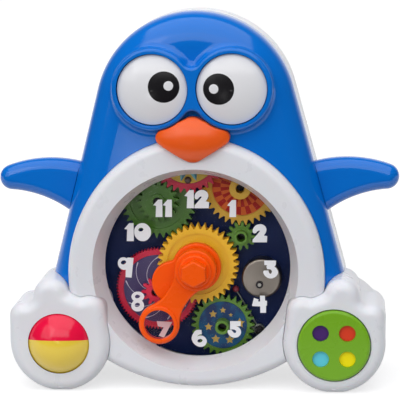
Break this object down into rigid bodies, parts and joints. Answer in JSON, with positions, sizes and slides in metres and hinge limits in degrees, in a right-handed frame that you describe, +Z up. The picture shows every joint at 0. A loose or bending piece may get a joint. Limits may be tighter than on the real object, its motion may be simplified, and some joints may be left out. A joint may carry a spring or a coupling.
{
  "type": "toy clock",
  "caption": "Penguin-shaped toddler clock with turnable hands, a see-through gear train that rolls its eyes, and a roller ball and finger dial on its feet.",
  "frame": {"origin": "on the floor under the middle of the clock's bounding box", "axes": "+X to the viewer's right when facing the dial, -Y out of the dial towards the viewer, +Z up"},
  "size_m": [0.28, 0.0928, 0.2612],
  "materials": {
    "shell_blue": "glossy blue moulded plastic",
    "case_white": "glossy white moulded plastic",
    "clear_lens": "clear moulded plastic with printed numerals",
    "plate_navy": "matt navy moulded plastic",
    "beak_orange": "glossy orange moulded plastic",
    "hand_orange": "glossy orange moulded plastic",
    "window_pink": "clear pink moulded plastic",
    "ball_red": "glossy red moulded plastic",
    "ball_yellow": "glossy yellow moulded plastic",
    "dial_lime": "glossy lime moulded plastic",
    "insert_purple": "glossy purple moulded plastic",
    "insert_red": "glossy red moulded plastic",
    "insert_blue": "glossy light blue moulded plastic",
    "insert_yellow": "glossy yellow moulded plastic",
    "steel": "plated steel",
    "bell_steel": "spun plated steel",
    "arbor_white": "satin white moulded plastic",
    "gear_yellow": "satin yellow moulded plastic",
    "gear_red": "satin red moulded plastic",
    "gear_green": "satin green moulded plastic",
    "label_swirl": "printed film, white spiral on purple",
    "label_star": "printed film, gold stars on blue",
    "label_sunburst": "printed film, teal rays on yellow",
    "label_checker": "printed film, red checks on orange",
    "eye_white": "glossy white moulded plastic",
    "pupil_black": "glossy black moulded plastic"
  },
  "bodies": {
    "housing": {"front_shell": "shell_blue", "rear_cover": "case_white", "belly_frame": "case_white", "dial_lens": "clear_lens", "dial_plate": "plate_navy", "beak": "beak_orange", "right_wing": "shell_blue", "left_wing": "shell_blue", "right_foot": "case_white", "left_foot": "case_white", "ball_axle": "steel", "gear_screws": "steel", "plate_screws": "steel", "case_screws": "steel", "foot_screws": "steel", "bell": "bell_steel", "bell_screw": "steel"},
    "minute_works": {"minute_arbor": "arbor_white", "arbor_clip": "steel", "minute_wheel": "gear_yellow", "minute_hand": "hand_orange", "hand_window": "window_pink", "hand_cap": "hand_orange"},
    "hour_works": {"hour_wheel": "gear_yellow", "hour_hand": "hand_orange"},
    "red_wheel": {"red_gear": "gear_red", "swirl_label": "label_swirl"},
    "star_wheel": {"star_gear": "gear_green", "star_label": "label_star"},
    "green_wheel": {"green_gear": "gear_green"},
    "sunburst_wheel": {"sunburst_gear": "gear_red", "sunburst_label": "label_sunburst"},
    "idler_wheel": {"idler_gear": "gear_green"},
    "checker_wheel": {"checker_gear": "gear_yellow", "checker_label": "label_checker"},
    "left_eye_works": {"left_eye": "eye_white", "left_pupil": "pupil_black", "left_eye_gear": "gear_yellow", "left_eye_screw": "steel"},
    "right_eye_works": {"right_eye": "eye_white", "right_pupil": "pupil_black", "right_eye_gear": "gear_yellow", "right_eye_screw": "steel"},
    "hammer": {"hammer_arm": "steel", "hammer_head": "gear_red"},
    "ball": {"ball_upper": "ball_red", "ball_lower": "ball_yellow"},
    "dial_works": {"finger_dial": "dial_lime", "dial_screw": "steel", "purple_insert": "insert_purple", "red_insert": "insert_red", "blue_insert": "insert_blue", "yellow_insert": "insert_yellow"}
  },
  "joints": [
    {"name": "minute_spin", "type": "hinge", "parent": "housing", "child": "minute_works", "pos_m": [0, 0.0084, 0.0848], "axis": [0, 1, 0], "continuous": true},
    {"name": "hour_spin", "type": "hinge", "parent": "housing", "child": "hour_works", "pos_m": [0, 0.0084, 0.0848], "axis": [0, 1, 0], "continuous": true},
    {"name": "red_spin", "type": "hinge", "parent": "housing", "child": "red_wheel", "pos_m": [-0.02995, 0.0084, 0.06483], "axis": [0, 1, 0], "continuous": true},
    {"name": "star_spin", "type": "hinge", "parent": "housing", "child": "star_wheel", "pos_m": [0.01642, 0.0084, 0.03969], "axis": [0, 1, 0], "continuous": true},
    {"name": "green_spin", "type": "hinge", "parent": "housing", "child": "green_wheel", "pos_m": [-0.02751, 0.0084, 0.12952], "axis": [0, 1, 0], "continuous": true},
    {"name": "sunburst_spin", "type": "hinge", "parent": "housing", "child": "sunburst_wheel", "pos_m": [-0.00603, 0.0084, 0.16207], "axis": [0, 1, 0], "continuous": true},
    {"name": "idler_spin", "type": "hinge", "parent": "housing", "child": "idler_wheel", "pos_m": [0.0304, 0.0084, 0.10409], "axis": [0, 1, 0], "continuous": true},
    {"name": "checker_spin", "type": "hinge", "parent": "housing", "child": "checker_wheel", "pos_m": [0.03028, 0.0084, 0.13859], "axis": [0, 1, 0], "continuous": true},
    {"name": "left_eye_spin", "type": "hinge", "parent": "housing", "child": "left_eye_works", "pos_m": [-0.027, 0.0084, 0.2102], "axis": [0, 1, 0], "continuous": true},
    {"name": "right_eye_spin", "type": "hinge", "parent": "housing", "child": "right_eye_works", "pos_m": [0.027, 0.0084, 0.2102], "axis": [0, 1, 0], "continuous": true},
    {"name": "finger_dial_turn", "type": "hinge", "parent": "housing", "child": "dial_works", "pos_m": [0.0952, 0.0084, 0.0347], "axis": [0, 1, 0], "continuous": true},
    {"name": "ball_roll", "type": "hinge", "parent": "housing", "child": "ball", "pos_m": [-0.0952, -0.0214, 0.0347], "axis": [1, 0, 0], "continuous": true},
    {"name": "hammer_swing", "type": "hinge", "parent": "housing", "child": "hammer", "pos_m": [0.0418, 0.0084, 0.035], "axis": [0, 1, 0], "range_deg": [-6, 7.5], "stiffness_Nm_per_rad": 0.02}
  ],
  "couplings": [
    {"joint": "hour_spin", "follows": "minute_spin", "ratio": 0.083333},
    {"joint": "red_spin", "follows": "minute_spin", "ratio": -0.25},
    {"joint": "star_spin", "follows": "minute_spin", "ratio": -1.2857},
    {"joint": "green_spin", "follows": "minute_spin", "ratio": -1.0588},
    {"joint": "sunburst_spin", "follows": "minute_spin", "ratio": 0.56055},
    {"joint": "idler_spin", "follows": "minute_spin", "ratio": -3},
    {"joint": "checker_spin", "follows": "minute_spin", "ratio": 1.0588},
    {"joint": "left_eye_spin", "follows": "minute_spin", "ratio": -0.52941},
    {"joint": "right_eye_spin", "follows": "minute_spin", "ratio": 0.52941}
  ]
}
